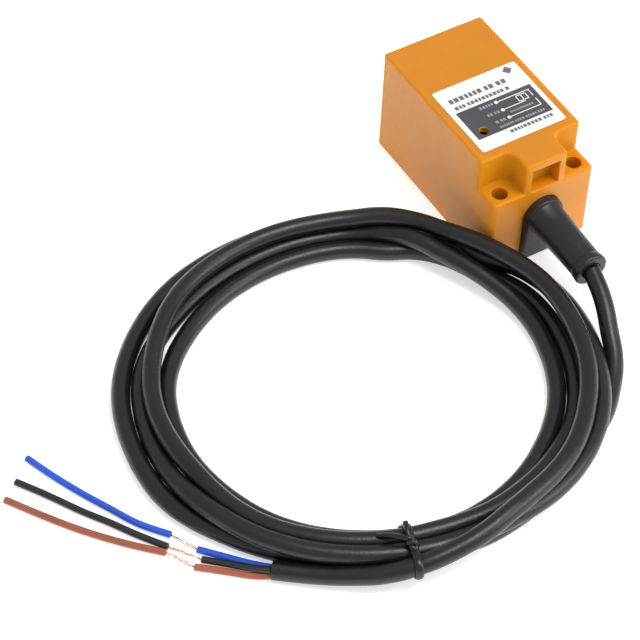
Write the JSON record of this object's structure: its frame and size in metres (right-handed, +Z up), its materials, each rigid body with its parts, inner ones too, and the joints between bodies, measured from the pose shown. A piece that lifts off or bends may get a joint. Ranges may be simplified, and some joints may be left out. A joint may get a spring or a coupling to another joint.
{
  "type": "inductive proximity sensor",
  "caption": "Block inductive proximity sensor: moulded housing with corner screw notches, nameplate, cable boot and a coiled three-core lead with bared ends.",
  "frame": {"origin": "middle of the housing's base, on the surface it rests on", "axes": "+Z up out of the nameplate side, +Y out of the sensing face and away from the cable, +X to the right seen from the cable end"},
  "size_m": [0.1702, 0.1315, 0.0322],
  "materials": {
    "housing": "moulded, fine satin texture",
    "nameplate": "printed film",
    "boot": "moulded, satin",
    "resin": "cast, slightly wavy",
    "board": "solder mask",
    "ferrite": "sintered, matte",
    "bobbin": "moulded",
    "copper": "enamelled wire",
    "led_lens": "clear tinted",
    "tinned_metal": "tinned",
    "chip_black": "moulded epoxy",
    "capacitor_ceramic": "fired ceramic",
    "capacitor_can": "sleeved can",
    "solder": "bright solder",
    "core_brown": "extruded insulation",
    "core_black": "extruded insulation",
    "core_blue": "extruded insulation",
    "jacket": "extruded jacket, satin",
    "tie": "plastic-covered wire"
  },
  "bodies": {
    "root": {"housing": "housing", "nameplate": "nameplate", "cable_boot": "boot", "potting_resin": "resin", "circuit_board": "board", "ferrite_core": "ferrite", "coil_bobbin": "bobbin", "sense_coil": "copper", "coil_leads": "copper", "indicator_led": "led_lens", "led_legs": "tinned_metal", "oscillator_ic": "chip_black", "ic_pins": "tinned_metal", "output_transistor": "chip_black", "transistor_legs": "tinned_metal", "resistors": "chip_black", "resistor_ends": "tinned_metal", "ceramic_capacitors": "capacitor_ceramic", "smoothing_capacitor": "capacitor_can", "protection_diodes": "chip_black", "diode_legs": "tinned_metal", "solder_joints": "solder", "inner_lead_brown": "core_brown", "inner_lead_black": "core_black", "inner_lead_blue": "core_blue", "cable_in_boot": "jacket", "cable_run": "jacket", "cable_coil": "jacket", "cable_tail": "jacket", "cable_tie": "tie", "core_brown": "core_brown", "core_black": "core_black", "core_blue": "core_blue", "strands_brown": "copper", "strands_black": "copper", "strands_blue": "copper", "slug_brown": "core_brown", "slug_black": "core_black", "slug_blue": "core_blue"}
  },
  "joints": []
}
